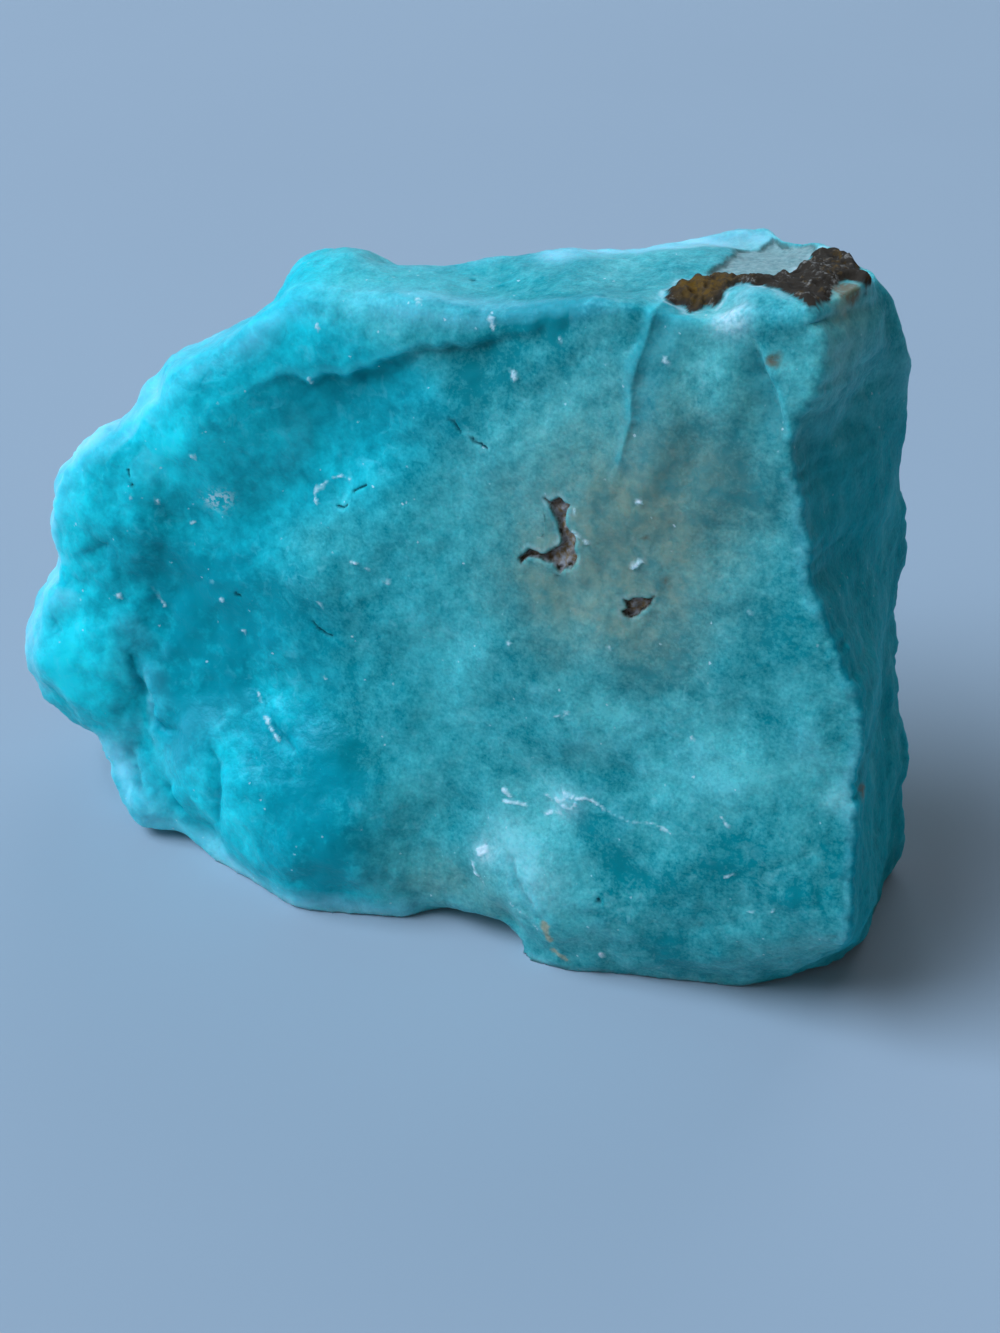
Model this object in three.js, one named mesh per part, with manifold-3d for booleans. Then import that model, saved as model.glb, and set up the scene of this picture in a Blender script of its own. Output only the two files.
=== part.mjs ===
// A hand specimen of blue hemimorphite, one piece of stone that stands on its broken foot.
//
// It is a thick slab. Its broad face looks along -Y and leans back, its right side (+X) is a sheer break,
// its top is a narrow sloping break with a rusty seam of limonite in it, and its left edge is a row of round
// botryoidal lobes. The back is broken in a few large facets. Millimetres, +Z up, origin at the middle of
// the foot: the centre of the bounding box, on the ground.
//
// The shape is a field that is negative inside the stone: facets cut a block, lobes are melted onto it and
// hollows are scooped out. The skin of the field is then turned into triangles. Small sharp forms, such as
// the pits, are cut or joined as solids.
import * as THREE from "three";
import { mergeVertices } from "three/addons/utils/BufferGeometryUtils.js";
import Module from "manifold-3d";

// ---- Driving dimensions ----
const LEAN = THREE.MathUtils.degToRad(12); // the broad face leans back from upright
const FOOT_Y = -11.2; // where the plane of the broad face meets the ground
const THICKNESS = 20; // front to back at the foot
const CELL = 1.6; // size of the facets that the surface is made of
const SOFT_EDGE = 1.8; // how widely worn edges are rounded
const MELT = 4.5; // how widely lobes flow into each other

// Face coordinates: u runs along X, w up the broad face, t into the stone. All shapes below are [u, w, t].
// Each facet is a broken plane, with its outward normal and its distance from the face's origin.
const FACETS = [
  { name: "top", normal: [-0.15, 0.96, -0.13], reach: 44.1 },
  { name: "upper left", normal: [-0.69, 0.72, 0.05], reach: 38.6 },
  { name: "left end", normal: [-1, 0.05, 0.1], reach: 29.0 },
  { name: "lower left", normal: [-0.74, -0.67, 0.05], reach: 14.2 },
  { name: "top right corner", normal: [0.86, 0.5, -0.08], reach: 45.3 },
  { name: "back", normal: [0.05, 0.05, 1], reach: THICKNESS + 0.8 },
  { name: "upper back", normal: [-0.48, 0.48, 0.73], reach: 29.0 },
  { name: "left back", normal: [-0.62, -0.1, 0.78], reach: 24.5 },
  { name: "right back corner", normal: [0.52, 0.39, 0.76], reach: 39.6 },
  { name: "foot front", normal: [0.32, -0.57, -0.75], reach: 4.5 },
  { name: "foot corner", normal: [0.62, -0.69, -0.38], reach: 13.4 },
];

// Round growths: the lobes of the left edge, the knob on the top and the swellings of the foot.
const LOBES = [
  { name: "knob", at: [-10.5, 41.1, 6.0], radii: [3.9, 3.9, 4.3] },
  { name: "rim upper", at: [-16.8, 33.6, 4.3], radii: [5.8, 3.9, 4.3] },
  { name: "rim middle", at: [-23.9, 27.0, 4.5], radii: [4.0, 4.0, 4.4] },
  { name: "left round", at: [-26.0, 22.4, 4.4], radii: [4.9, 4.8, 4.4] },
  { name: "left small", at: [-28.0, 14.6, 4.6], radii: [5.0, 4.6, 4.6] },
  { name: "left behind", at: [-30.2, 10.6, 6.4], radii: [3.0, 3.1, 4.4] },
  { name: "left big", at: [-26.3, 11.0, 4.6], radii: [4.9, 5.4, 5.2] },
  { name: "low behind", at: [-22.0, 3.4, 4.2], radii: [3.6, 3.6, 4.2] },
  { name: "low middle", at: [-17.0, 6.8, 3.2], radii: [3.4, 3.8, 3.4] },
  { name: "foot left", at: [-8.0, 4.9, 3.0], radii: [8.6, 8.2, 6.9] },
  { name: "foot bump", at: [10.0, 5.0, 2.2], radii: [4.4, 4.4, 3.2] },
  { name: "foot", at: [20.0, 9.0, 6.0], radii: [8.2, 7.4, 6.0] },
  { name: "back upper", at: [-15.0, 29.0, 9.0], radii: [6.0, 4.6, 4.6] },
  { name: "back middle", at: [-22.0, 18.0, 9.0], radii: [5.4, 6.0, 5.0] },
  { name: "back low", at: [-16.4, 8.0, 15.0], radii: [7.0, 6.4, 4.6] },
  { name: "back crown", at: [-3.6, 38.0, 10.0], radii: [5.6, 4.4, 4.0] },
];

// Scoops that are taken out of it: a pocket of the seam, gaps between lobes, the arch under the face.
const HOLLOWS = [
  { name: "seam pocket", at: [15.2, 48.9, 1.6], radii: [3.0, 1.8, 2.8] },
  { name: "lobe gap", at: [-31.6, 19.2, -0.6], radii: [2.4, 1.2, 2.8] },
  { name: "lobe fold", at: [-21.4, 12.0, -1.2], radii: [1.2, 4.0, 1.6] },
  { name: "under lobe", at: [-28.4, 2.6, 2.0], radii: [4.4, 3.0, 6.0] },
  { name: "foot arch", at: [5.2, -0.8, -0.2], radii: [4.4, 2.6, 3.0] },
  { name: "left arch", at: [-19.0, -1.6, -1.2], radii: [3.6, 2.4, 4.0] },
  { name: "back scoop", at: [8.0, 24.0, 34.0], radii: [20.0, 13.0, 15.5] },
];

// The broken side at +X. Its front edge wanders as it climbs and ends in a lip near the top. Its back edge,
// RIGHT_DEPTH into the stone, is nearly straight. The side is ruled between the two lines of [w, u] points.
const RIGHT_FRONT = [
  [0.0, 30.6], [10.0, 30.9], [16.0, 30.8], [20.0, 30.4], [23.3, 29.6], [26.3, 28.2],
  [29.3, 26.8], [32.3, 25.5], [35.2, 24.2], [37.0, 23.6], [39.0, 22.8], [40.8, 22.3],
  [42.4, 22.5], [44.1, 23.3], [45.6, 23.7], [46.8, 23.4], [48.0, 22.3],
];
const RIGHT_BACK = [
  [0.0, 31.6], [8.4, 31.2], [12.2, 30.2], [18.2, 28.4], [24.0, 27.5],
  [29.7, 27.1], [35.0, 26.4], [43.0, 26.5], [46.0, 27.2], [49.0, 27.0],
];
const RIGHT_DEPTH = 14;
const RIGHT_SLANT = 1.08; // length of the side's slope, where u alone counts 1
const RIGHT_ROUNDING = 0.9;

// The crust round the top of the broad face ends in a ledge. Below it the face lies LEDGE_DEPTH deeper and
// comes back out over LEDGE_RUN. Its line is a curve through [u, w] points.
const LEDGE_DEPTH = 1;
const LEDGE_RUN = 15;
const LEDGE_LINE = [
  [-25.0, 27.0], [-21.2, 32.0], [-18.0, 32.2], [-12.6, 36.5],
  [-7.7, 38.9], [-5.1, 40.8], [0.4, 42.6], [8.0, 45.2],
];

// Near the top the face steps back between these places. The sunk band is fluted down its length and is
// deepest at its right, where a lip stands between it and the edge.
const STEP_FROM = 12.6;
const STEP_TO = 20.2;
const STEP_DEPTH = 0.6;
const FLUTE_DEPTH = 0.15;
const FLUTE_WIDTH = 3.8;

// Pits through the crust of the broad face: [u, w] corners of the hole, from above.
const PIT_FLOOR = 1.9; // depth of the floor behind the plane of the face
const PITS = [
  {
    name: "forked pit",
    outline: [
      [7.6, 34.0], [6.5, 33.6], [8.0, 32.9], [7.9, 31.2], [6.0, 30.4], [6.3, 29.4],
      [8.4, 29.0], [9.4, 28.7], [9.8, 30.2], [9.0, 31.4], [9.3, 33.2], [8.9, 34.0],
    ],
  },
  { name: "small pit", outline: [[13.2, 28.2], [13.7, 27.1], [14.7, 27.7], [15.4, 29.1], [14.0, 29.2]] },
];

// Limonite: crumbly grains in patches of the seam that crosses the top, each patch a circle [u, t, radius].
const SEAM_PATCHES = [
  { at: [15.2, 2.6], radius: 1.9, grains: 12 },
  { at: [18.2, 3.6], radius: 0.9, grains: 4 },
  { at: [20.6, 5.6], radius: 2.4, grains: 16 },
  { at: [21.2, 8.6], radius: 1.9, grains: 10 },
];
const GRAIN_RADIUS = 0.7; // of an ordinary grain

// Unevenness of the whole surface: [length, height] of each layer of ripples.
const UNEVENNESS = [
  [4.6, 0.35],
  [2.1, 0.14],
];

const GROUND_SINK = 2.5; // how far the field runs below the ground before the foot is cut flat

// ---- The field ----
// The larger of two field values, with the edge between them rounded over a width.
function roundedMax(a, b, width) {
  const blend = Math.max(width - Math.abs(a - b), 0) / width;
  return Math.max(a, b) + (blend * blend * width) / 4;
}

function roundedMin(a, b, width) {
  return -roundedMax(-a, -b, width);
}

// Uneven waves in every direction, about -1 to 1: each sine is bent by another.
function ripple(x, y, z) {
  return (Math.sin(1.9 * x + 1.4 * Math.sin(1.3 * y + 0.7 * z))
    + Math.sin(1.7 * y + 1.4 * Math.sin(1.5 * z + 0.6 * x))
    + Math.sin(2.1 * z + 1.4 * Math.sin(1.2 * x + 0.8 * y))) / 2;
}

// About the distance from an ellipsoid's surface.
function ellipsoid(point, at, radii) {
  let scaled = 0;
  let steep = 0;
  for (let axis = 0; axis < 3; axis++) {
    const offset = (point[axis] - at[axis]) / radii[axis];
    scaled += offset * offset;
    steep += (offset / radii[axis]) ** 2;
  }
  const size = Math.sqrt(scaled);
  return (size * (size - 1)) / Math.max(Math.sqrt(steep), 1e-6);
}

// Row frame to face coordinates, and back.
function toFace(x, y, z) {
  const depth = y - FOOT_Y;
  return [
    x,
    depth * Math.sin(LEAN) + z * Math.cos(LEAN),
    depth * Math.cos(LEAN) - z * Math.sin(LEAN),
  ];
}

function fromFace(u, w, t) {
  return new THREE.Vector3(
    u,
    FOOT_Y + t * Math.cos(LEAN) + w * Math.sin(LEAN),
    w * Math.cos(LEAN) - t * Math.sin(LEAN),
  );
}

const { smoothstep, mapLinear } = THREE.MathUtils;
const ledge = new THREE.SplineCurve(LEDGE_LINE.map(([u, w]) => new THREE.Vector2(u, w))).getPoints(60);

// How high the ledge's line runs above a place along the face.
function ledgeHeight(u) {
  const next = ledge.findIndex((point) => point.x > u);
  if (next < 1) return next === 0 ? ledge[0].y - (ledge[0].x - u) : Infinity;
  const [a, b] = [ledge[next - 1], ledge[next]];
  return mapLinear(u, a.x, b.x, a.y, b.y);
}

// How far the broad face lies behind its own plane.
function faceRelief(u, w) {
  const below = ledgeHeight(u) - w;
  const step = smoothstep(below, -0.4, 1.0);
  const comesBack = 1 - smoothstep(below, 1, LEDGE_RUN);
  const fades = (1 - smoothstep(u, 0, 9)) * (0.3 + 0.7 * smoothstep(u, -20, -7));
  const pastStep = smoothstep(u, STEP_FROM - 0.6, STEP_FROM + 0.6);
  const beforeLip = 1 - smoothstep(u, STEP_TO - 0.4, STEP_TO + 1.2);
  const inBand = pastStep * beforeLip * smoothstep(w, 33, 41);
  const flute = FLUTE_DEPTH * Math.cos(((u - STEP_FROM) / FLUTE_WIDTH) * 2 * Math.PI);
  return LEDGE_DEPTH * step * comesBack * fades + (STEP_DEPTH + flute) * inBand;
}

// The height at which a line of [place, height] points passes over a place.
function lineHeight(line, place) {
  const next = line.findIndex(([at]) => at > place);
  if (next === 0) return line[0][1];
  if (next < 0) return line.at(-1)[1];
  return mapLinear(place, line[next - 1][0], line[next][0], line[next - 1][1], line[next][1]);
}

function rightSide([u, w, t]) {
  const front = lineHeight(RIGHT_FRONT, w);
  const back = lineHeight(RIGHT_BACK, w);
  return (u - front - (back - front) * Math.min(t / RIGHT_DEPTH, 1)) / RIGHT_SLANT;
}

function block(point) {
  const [u, w, t] = point;
  let value = faceRelief(u, w) - t;
  for (const { normal, reach } of FACETS) {
    const [a, b, c] = normal;
    value = roundedMax(value, (a * u + b * w + c * t) / Math.hypot(a, b, c) - reach, SOFT_EDGE);
  }
  return roundedMax(value, rightSide(point), RIGHT_ROUNDING);
}

function stoneField(x, y, z) {
  const point = toFace(x, y, z);
  let value = block(point);
  for (const { at, radii } of LOBES) value = roundedMin(value, ellipsoid(point, at, radii), MELT);
  for (const { at, radii } of HOLLOWS) value = roundedMax(value, -ellipsoid(point, at, radii), 1);
  for (const [length, height] of UNEVENNESS) value += height * ripple(x / length, y / length, z / length);
  return Math.max(value, -GROUND_SINK - z);
}

// ---- Skin: one vertex in each cell that the surface crosses, one quad round each crossed grid edge ----
const AXES = [[1, 0, 0], [0, 1, 0], [0, 0, 1]];

function eachCell([ni, nj, nk], visit) {
  for (let i = 0; i < ni; i++) {
    for (let j = 0; j < nj; j++) {
      for (let k = 0; k < nk; k++) visit(i, j, k);
    }
  }
}

function slopeAt(field, { x, y, z }) {
  const probe = 0.02;
  const here = field(x, y, z);
  const ahead = AXES.map(([a, b, c]) => field(x + a * probe, y + b * probe, z + c * probe));
  return new THREE.Vector3(...ahead.map((value) => value - here)).normalize();
}

// The point that lies best on the planes through all crossings, so that sharp edges stay sharp. A weak pull
// to the middle of the crossings keeps it steady where the surface is flat.
function sharpestPoint(field, crossings, corner, cell) {
  const middle = new THREE.Vector3();
  for (const crossing of crossings) middle.addScaledVector(crossing, 1 / crossings.length);
  const pull = 0.08;
  const sums = [pull, 0, 0, 0, pull, 0, 0, 0, pull];
  const aim = new THREE.Vector3();
  for (const crossing of crossings) {
    const slope = slopeAt(field, crossing);
    const { x, y, z } = slope;
    [x * x, x * y, x * z, y * x, y * y, y * z, z * x, z * y, z * z].forEach((term, n) => (sums[n] += term));
    aim.addScaledVector(slope, slope.dot(crossing.clone().sub(middle)));
  }
  const shift = aim.applyMatrix3(new THREE.Matrix3().set(...sums).invert());
  return middle.add(shift).clamp(corner, corner.clone().addScalar(cell));
}

function skinOf(field, low, high, cell) {
  const count = high.clone().sub(low).divideScalar(cell).ceil().addScalar(1).toArray();
  const cells = count.map((n) => n - 1);
  const indexOf = (i, j, k) => (i * count[1] + j) * count[2] + k;
  const placeOf = (i, j, k) => new THREE.Vector3(i, j, k).multiplyScalar(cell).add(low);
  const values = new Float64Array(count[0] * count[1] * count[2]);
  eachCell(count, (i, j, k) => {
    values[indexOf(i, j, k)] = field(...placeOf(i, j, k).toArray());
  });

  const vertexIn = new Map();
  const positions = [];
  eachCell(cells, (i, j, k) => {
    const crossings = [];
    eachCell([2, 2, 2], (a, b, c) => {
      const from = values[indexOf(i + a, j + b, k + c)];
      for (const [p, q, r] of AXES) {
        if (a + p > 1 || b + q > 1 || c + r > 1) continue;
        const to = values[indexOf(i + a + p, j + b + q, k + c + r)];
        if (from < 0 === to < 0) continue;
        const share = from / (from - to);
        crossings.push(placeOf(i + a + p * share, j + b + q * share, k + c + r * share));
      }
    });
    if (!crossings.length) return;
    vertexIn.set(indexOf(i, j, k), positions.length);
    positions.push(sharpestPoint(field, crossings, placeOf(i, j, k), cell));
  });

  const triangles = [];
  eachCell(cells, (i, j, k) => {
    const from = values[indexOf(i, j, k)];
    AXES.forEach(([p, q, r], axis) => {
      if (from < 0 === values[indexOf(i + p, j + q, k + r)] < 0) return;
      const [b, c] = [AXES[(axis + 1) % 3], AXES[(axis + 2) % 3]];
      const around = [[0, 0], [1, 0], [1, 1], [0, 1]].map(([m, n]) =>
        vertexIn.get(indexOf(i - m * b[0] - n * c[0], j - m * b[1] - n * c[1], k - m * b[2] - n * c[2])),
      );
      if (from >= 0) around.reverse();
      // The quad is folded along the diagonal that lies closer to the surface.
      const stray = (m, n) =>
        Math.abs(field(...positions[around[m]].clone().lerp(positions[around[n]], 0.5).toArray()));
      if (stray(1, 3) < stray(0, 2)) around.push(around.shift());
      const [v0, v1, v2, v3] = around;
      triangles.push(v0, v1, v2, v0, v2, v3);
    });
  });
  return new THREE.BufferGeometry().setFromPoints(positions).setIndex(triangles);
}

// ---- Solids ----
const wasm = await Module();
wasm.setup();

function toSolid(geometry) {
  const bare = geometry.clone();
  for (const name of Object.keys(bare.attributes)) if (name !== "position") bare.deleteAttribute(name);
  const merged = mergeVertices(bare, 1e-4);
  const triVerts = new Uint32Array(merged.index.array);
  const vertProperties = new Float32Array(merged.attributes.position.array);
  return new wasm.Manifold(new wasm.Mesh({ numProp: 3, vertProperties, triVerts }));
}

function toGeometry(solid) {
  const { vertProperties, triVerts } = solid.getMesh();
  const geometry = new THREE.BufferGeometry();
  geometry.setAttribute("position", new THREE.Float32BufferAttribute(vertProperties, 3));
  geometry.setIndex(new THREE.BufferAttribute(triVerts, 1));
  geometry.computeVertexNormals();
  return geometry;
}

// A pit is its outline driven square into the broad face.
function pitSolid(outline) {
  const shape = new THREE.Shape(outline.map(([u, w]) => new THREE.Vector2(u, w)));
  const standsProud = 3;
  const prism = new THREE.ExtrudeGeometry(shape, { depth: PIT_FLOOR + standsProud, bevelEnabled: false });
  prism.translate(0, 0, -PIT_FLOOR); // its own z points out of the face
  prism.rotateX(Math.PI / 2 - LEAN);
  prism.translate(0, FOOT_Y, 0);
  return toSolid(prism);
}

// The height of the stone's top surface over a place, found by walking down the field.
function surfaceHeight(x, y) {
  let z = 60;
  while (z > 0 && stoneField(x, y, z) > 0) z -= 0.1;
  return z;
}

// A patch of limonite: small lumps of twenty faces on a spiral, each turned and sized by its number.
function limoniteGrains({ at: [u, t], radius, grains }) {
  const turn = THREE.MathUtils.degToRad(137.5);
  return Array.from({ length: grains }, (_, number) => {
    const away = radius * Math.sqrt((number + 0.5) / grains);
    const size = GRAIN_RADIUS * (1 + 0.5 * Math.sin(number * 2.3 + u));
    const grain = new THREE.IcosahedronGeometry(size).rotateX(number * 2.1).rotateY(number * 1.3);
    const place = fromFace(u + away * Math.cos(number * turn), 48, t + away * Math.sin(number * turn));
    place.z = surfaceHeight(place.x, place.y) - size * 0.25;
    return toSolid(grain.translate(...place.toArray()));
  });
}

function buildStone() {
  const low = new THREE.Vector3(-36, -18, -GROUND_SINK - 1.6);
  const high = new THREE.Vector3(36, 18, 52);
  let stone = toSolid(skinOf(stoneField, low, high, CELL));
  for (const { outline } of PITS) stone = stone.subtract(pitSolid(outline));
  for (const grain of SEAM_PATCHES.flatMap(limoniteGrains)) stone = stone.add(grain);
  const ground = new THREE.BoxGeometry(200, 200, 20).translate(0, 0, -10);
  return toGeometry(stone.subtract(toSolid(ground)));
}

// ---- The part ----
const hemimorphite = new THREE.MeshStandardMaterial({ color: 0x1ba3b4, roughness: 0.5, metalness: 0 });
const stone = new THREE.Mesh(buildStone(), hemimorphite);
stone.name = "hemimorphite_stone";

// The origin goes to the middle of the foot.
const middle = new THREE.Box3().setFromObject(stone).getCenter(new THREE.Vector3());
stone.position.set(-middle.x, -middle.y, 0);

const specimen = new THREE.Group();
specimen.name = "hemimorphite_specimen";
specimen.add(stone);

export default specimen;
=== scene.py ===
"""Looks of a hand specimen of blue hemimorphite. Lengths are in mm until a mesh is done."""
import math
from functools import partial

import bmesh
import bpy
import numpy as np
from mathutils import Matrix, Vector, noise


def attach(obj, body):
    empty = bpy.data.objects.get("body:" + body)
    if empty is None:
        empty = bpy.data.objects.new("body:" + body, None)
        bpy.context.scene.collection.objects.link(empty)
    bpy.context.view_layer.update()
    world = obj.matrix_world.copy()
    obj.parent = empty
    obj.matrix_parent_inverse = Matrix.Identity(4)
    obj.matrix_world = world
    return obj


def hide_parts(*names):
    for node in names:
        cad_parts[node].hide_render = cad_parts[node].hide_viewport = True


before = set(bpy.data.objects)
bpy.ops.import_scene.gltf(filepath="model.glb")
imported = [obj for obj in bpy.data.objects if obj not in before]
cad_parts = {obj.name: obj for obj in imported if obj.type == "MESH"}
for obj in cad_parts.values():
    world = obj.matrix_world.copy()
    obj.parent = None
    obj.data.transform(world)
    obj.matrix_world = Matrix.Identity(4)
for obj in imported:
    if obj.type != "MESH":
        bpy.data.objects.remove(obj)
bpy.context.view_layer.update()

MM = 0.001

# ---- Camera: the photograph's view ----
PHOTO_WIDTH, PHOTO_HEIGHT = 1000, 1333
LENS = 50.0
SENSOR = 36.0  # along the picture's height
AZIMUTH, ELEVATION = math.radians(24), math.radians(38)
TARGET = np.array([7.53, -8.44, 22.0])
DISTANCE = 120.0
CLIP_START = 5.0

BACK = np.array([
    math.sin(AZIMUTH) * math.cos(ELEVATION),
    -math.cos(AZIMUTH) * math.cos(ELEVATION),
    math.sin(ELEVATION),
])
RIGHT = np.array([math.cos(AZIMUTH), math.sin(AZIMUTH), 0.0])
UP = np.cross(BACK, RIGHT)
EYE = TARGET + BACK * DISTANCE


def pixel_ray(x, y):
    """The direction in which the camera sees a pixel of the photograph."""
    focal = LENS / SENSOR * PHOTO_HEIGHT
    direction = -BACK * focal + RIGHT * (x - PHOTO_WIDTH / 2) - UP * (y - PHOTO_HEIGHT / 2)
    return direction / np.linalg.norm(direction)


def add_object(name, data):
    added = bpy.data.objects.new(name, data)
    bpy.context.scene.collection.objects.link(added)
    return added


def add_camera():
    data = bpy.data.cameras.new("camera")
    data.lens = LENS
    data.sensor_width = SENSOR
    data.clip_start = CLIP_START * MM
    camera = add_object("camera", data)
    camera.location = Vector(EYE * MM)
    camera.rotation_euler = Vector(BACK).to_track_quat("Z", "Y").to_euler()
    bpy.context.scene.camera = camera


# ---- The stone's shape, as the frame has it ----
# Face coordinates: u along X, w up the leaning front face, t into the stone
LEAN = math.radians(12)
FOOT_Y = -11.2
CENTRING = np.array([1.327, -0.743, 0.0])  # from the face's own origin to the middle of the foot
SOFT_EDGE = 0.9  # how wide the rounding between two faces is
CRISP_EDGE = 0.5
CRISP_BROW = 0.55  # how much narrower that gets along the brow
CRISP_BROW_U = (7, 12)
HOLLOW_EDGE = 1.0
MELT = 4.5  # how widely a lobe runs into the stone

FACETS = [  # outward normal, distance
    ((-0.15, 0.96, -0.13), 44.1),  # top
    ((-0.69, 0.72, 0.05), 38.6),  # upper left
    ((-1, 0.05, 0.1), 29),  # left end
    ((-0.74, -0.67, 0.05), 14.2),  # lower left
    ((0.86, 0.5, -0.08), 45.3),  # top right corner
    ((0.05, 0.05, 1), 20.8),  # back
    ((-0.48, 0.48, 0.73), 29),  # upper back
    ((-0.62, -0.1, 0.78), 24.5),  # left back
    ((0.52, 0.39, 0.76), 39.6),  # right back corner
    ((0.32, -0.57, -0.75), 4.5),  # foot front
    ((0.62, -0.69, -0.38), 13.4),  # foot corner
]
LOBES = [  # middle, radii
    ((-10.5, 41.1, 6), (3.9, 3.9, 4.3)),  # knob
    ((-16.8, 33.6, 4.3), (5.8, 3.9, 4.3)),  # rim upper
    ((-23.9, 27, 4.5), (4, 4, 4.4)),  # rim middle
    ((-26, 22.4, 4.4), (4.9, 4.8, 4.4)),  # left round
    ((-28, 14.6, 4.6), (5, 4.6, 4.6)),  # left small
    ((-30.2, 10.6, 6.4), (3, 3.1, 4.4)),  # left behind
    ((-26.3, 11, 4.6), (4.9, 5.4, 5.2)),  # left big
    ((-22, 3.4, 4.2), (3.6, 3.6, 4.2)),  # low behind
    ((-17, 6.8, 3.2), (3.4, 3.8, 3.4)),  # low middle
    ((-8, 4.9, 3), (8.6, 8.2, 6.9)),  # foot left
    ((10, 5, 2.2), (4.4, 4.4, 3.2)),  # foot bump
    ((20, 9, 6), (8.2, 7.4, 6)),  # foot
    ((-15, 29, 9), (6, 4.6, 4.6)),  # back upper
    ((-22, 18, 9), (5.4, 6, 5)),  # back middle
    ((-16.4, 8, 15), (7, 6.4, 4.6)),  # back low
    ((-3.6, 38, 10), (5.6, 4.4, 4)),  # back crown
]
HOLLOWS = [
    ((15.2, 48.9, 1.6), (3, 1.8, 2.8)),  # seam pocket
    ((-31.6, 19.2, -0.6), (2.4, 1.2, 2.8)),  # lobe gap
    ((-21.4, 12, -1.2), (0.8, 3.2, 1.3)),  # lobe fold
    ((-28.4, 2.6, 2), (4.4, 3, 6)),  # under lobe
    ((5.2, -0.8, -0.2), (4.4, 2.6, 3)),  # foot arch
    ((-19, -1.6, -1.2), (3.6, 2.4, 4)),  # left arch
    ((8, 24, 34), (20, 13, 15.5)),  # back scoop
]
RIGHT_FRONT = [  # the right side's front edge, u at w
    (0, 30.6), (10, 30.9), (16, 30.8), (20, 30.4), (23.3, 29.6), (26.3, 28.2), (29.3, 26.8),
    (32.3, 25.5), (35.2, 24.2), (37, 23.6), (39, 22.8), (40.8, 22.3), (42.4, 22.5), (44.1, 23.3),
    (45.6, 23.7), (46.8, 23.4), (48, 22.3),
]
EDGE_JOGS = [  # how far the front edge stands out beyond that line, at w
    (18, 0), (20, -0.3), (22.1, 0.2), (24.3, 0.6), (26.3, 0.7), (27, 0.15), (28.5, 0.1),
    (30.7, -0.25), (32.6, -0.35), (34.6, 0.35), (37.5, 0.2), (39.9, 0.05), (43.7, -0.1),
    (45.8, -0.3), (47.2, 0.2), (49, 0),
]
RIGHT_BACK = [  # the right side's back edge, u at w
    (0, 31.6), (8.4, 31.2), (12.2, 30.2), (18.2, 28.4), (24, 27.5), (29.7, 27.1), (35, 26.4),
    (43, 26.5), (46, 27.2), (49, 27),
]
RIGHT_DEPTH = 14
RIGHT_SLANT = 1.08
LEDGE_DEPTH = 0.75
LEDGE_RUN = 15.0
LEDGE_RAGGED = 0.12
LEDGE_TO_U = 8
LEDGE_LINE = [  # the ledge's w at u
    (-25, 27), (-21.3, 32.2), (-18.1, 32.1), (-16.6, 33.4), (-15.1, 34.7), (-13.9, 35.6),
    (-12.9, 37), (-11.4, 38.1), (-10, 38.2), (-9.2, 37.9), (-8.1, 38.9), (-7.1, 38.7), (-5, 39.8),
    (-4.1, 40.6), (-2.4, 41.5), (-0.8, 42.1), (1, 42.5), (4, 43.5), (8, 45.2),
]
STEP_LINE = [  # the step's u at w
    (33, 11.4), (35.5, 11.8), (37, 12.2), (39, 12.45), (40.2, 12.6), (42, 12.4), (43.6, 12.55),
    (45.5, 13), (47.6, 13.2),
]
STEP_DEPTH = 0.12
TROUGH_LINE = [  # the trough's u at w
    (40.5, 22.3), (41.5, 22.0), (43.1, 21.3), (44, 20.8), (44.9, 20.2), (46.1, 19.6), (47.2, 19.0),
    (48.5, 18.6),
]
TROUGH_DEPTH = 0.55
FLUTE_DEPTH, FLUTE_WIDTH = 0.13, 3.8
UNEVENNESS = [(4.6, 0.35), (2.1, 0.14)]  # length, height
PROBE = 0.02  # between two readings for a slope
LEAST_STEEP = 0.25
LONGEST_MOVE = 0.5


def ramp(value, low, high):
    """A smooth rise from 0 at low to 1 at high."""
    share = np.clip((value - low) / (high - low), 0, 1)
    return share * share * (3 - 2 * share)


def rounded_max(a, b, width):
    """The larger of two values, rounded where they cross."""
    blend = np.maximum(width - np.abs(a - b), 0) / width
    return np.maximum(a, b) + blend * blend * width / 4


def ripple(x, y, z):
    return (np.sin(1.9 * x + 1.4 * np.sin(1.3 * y + 0.7 * z))
            + np.sin(1.7 * y + 1.4 * np.sin(1.5 * z + 0.6 * x))
            + np.sin(2.1 * z + 1.4 * np.sin(1.2 * x + 0.8 * y))) / 2


def ellipsoid(face, middle, radii):
    """About the distance of each point from an ellipsoid."""
    offset = (face - middle) / radii
    size = np.sqrt((offset ** 2).sum(1))
    steep = np.sqrt(((offset / radii) ** 2).sum(1))
    return size * (size - 1) / np.maximum(steep, 1e-6)


def to_face(points):
    """Face coordinates of points in the frame."""
    x, y, z = (points - CENTRING).T
    depth = y - FOOT_Y
    return np.stack([
        x,
        depth * math.sin(LEAN) + z * math.cos(LEAN),
        depth * math.cos(LEAN) - z * math.sin(LEAN),
    ], 1)


def ledge_below(face):
    """How far each point lies below the ledge of the face's crust."""
    u, w, _ = face.T
    ragged = LEDGE_RAGGED * np.sin(2.3 * u + 1.7 * np.sin(0.9 * u))
    return np.interp(u, *zip(*LEDGE_LINE), left=20, right=99) + ragged - w


def past(face, line):
    """How far each point lies to the right of a line up the face."""
    u, w, _ = face.T
    return u - np.interp(w, *zip(*line))


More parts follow.
